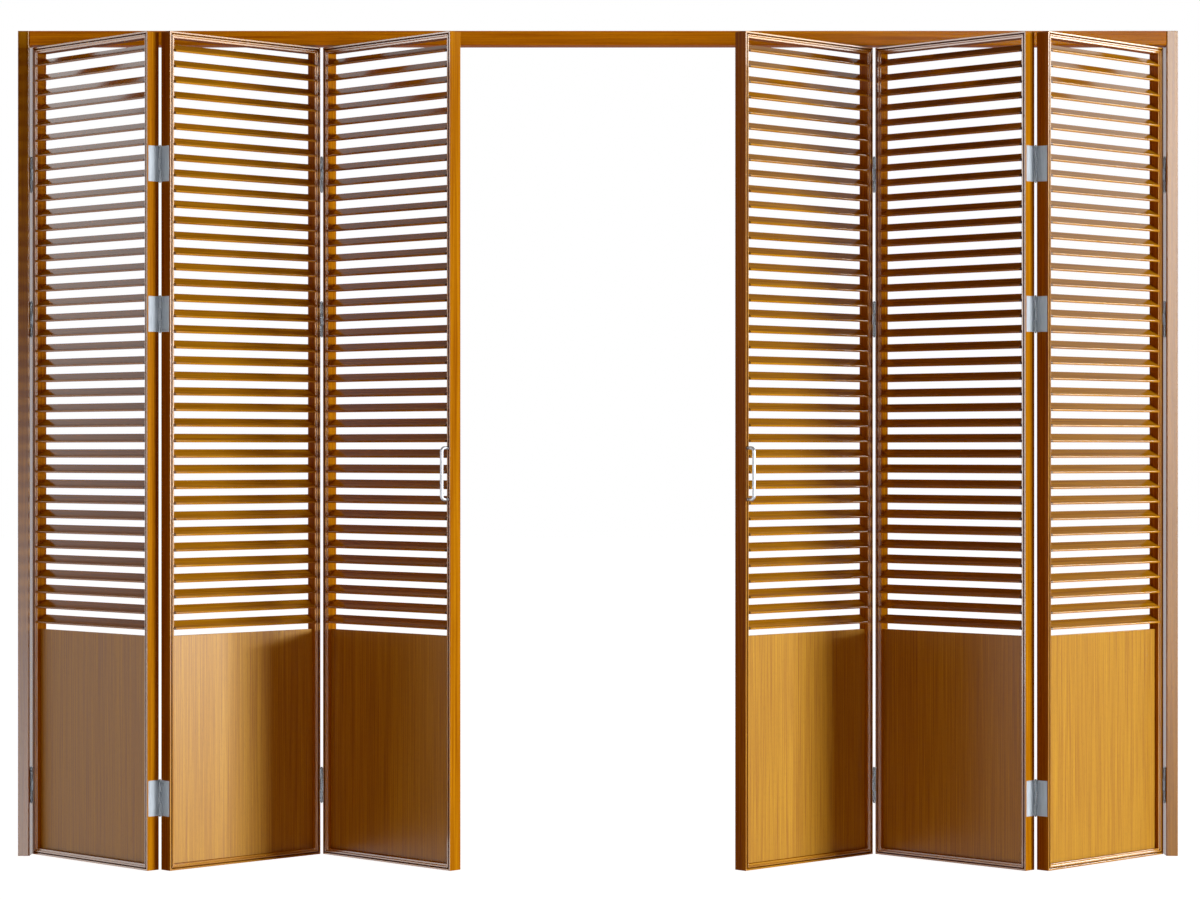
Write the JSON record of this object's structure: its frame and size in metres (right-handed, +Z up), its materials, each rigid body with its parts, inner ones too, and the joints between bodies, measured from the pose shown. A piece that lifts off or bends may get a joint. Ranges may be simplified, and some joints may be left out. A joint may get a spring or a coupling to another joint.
{
  "type": "louvred folding door",
  "caption": "Louvred folding door in a timber frame, its hinged leaves half folded to both sides, with slatted upper parts, plain lower panels, butt hinges and D pulls.",
  "frame": {"origin": "middle of the left jamb's foot, on the floor", "axes": "+X along the frame from the left jamb to the right, +Y away from the front, +Z up"},
  "size_m": [3, 0.3907, 2.134],
  "materials": {
    "frame_wood": "clear lacquered",
    "leaf_wood": "clear lacquered",
    "slat_wood": "clear lacquered",
    "panel_veneer": "satin lacquered veneer",
    "hinge_steel": "brushed",
    "handle_steel": "polished"
  },
  "bodies": {
    "root": {"head": "frame_wood", "left_jamb": "frame_wood", "left_outer_leaf_stiles": "leaf_wood", "left_outer_leaf_rails": "leaf_wood", "left_outer_leaf_panel": "panel_veneer", "left_outer_leaf_slats": "slat_wood", "left_middle_leaf_stiles": "leaf_wood", "left_middle_leaf_rails": "leaf_wood", "left_middle_leaf_panel": "panel_veneer", "left_middle_leaf_slats": "slat_wood", "left_leading_leaf_stiles": "leaf_wood", "left_leading_leaf_rails": "leaf_wood", "left_leading_leaf_panel": "panel_veneer", "left_leading_leaf_slats": "slat_wood", "left_jamb_hinge_pin_plates": "hinge_steel", "left_jamb_hinge_bush_plates": "hinge_steel", "left_outer_hinge_pin_plates": "hinge_steel", "left_outer_hinge_bush_plates": "hinge_steel", "left_inner_hinge_pin_plates": "hinge_steel", "left_inner_hinge_bush_plates": "hinge_steel", "left_handle": "handle_steel", "right_jamb": "frame_wood", "right_outer_leaf_stiles": "leaf_wood", "right_outer_leaf_rails": "leaf_wood", "right_outer_leaf_panel": "panel_veneer", "right_outer_leaf_slats": "slat_wood", "right_middle_leaf_stiles": "leaf_wood", "right_middle_leaf_rails": "leaf_wood", "right_middle_leaf_panel": "panel_veneer", "right_middle_leaf_slats": "slat_wood", "right_leading_leaf_stiles": "leaf_wood", "right_leading_leaf_rails": "leaf_wood", "right_leading_leaf_panel": "panel_veneer", "right_leading_leaf_slats": "slat_wood", "right_jamb_hinge_pin_plates": "hinge_steel", "right_jamb_hinge_bush_plates": "hinge_steel", "right_outer_hinge_pin_plates": "hinge_steel", "right_outer_hinge_bush_plates": "hinge_steel", "right_inner_hinge_pin_plates": "hinge_steel", "right_inner_hinge_bush_plates": "hinge_steel", "right_handle": "handle_steel"}
  },
  "joints": []
}
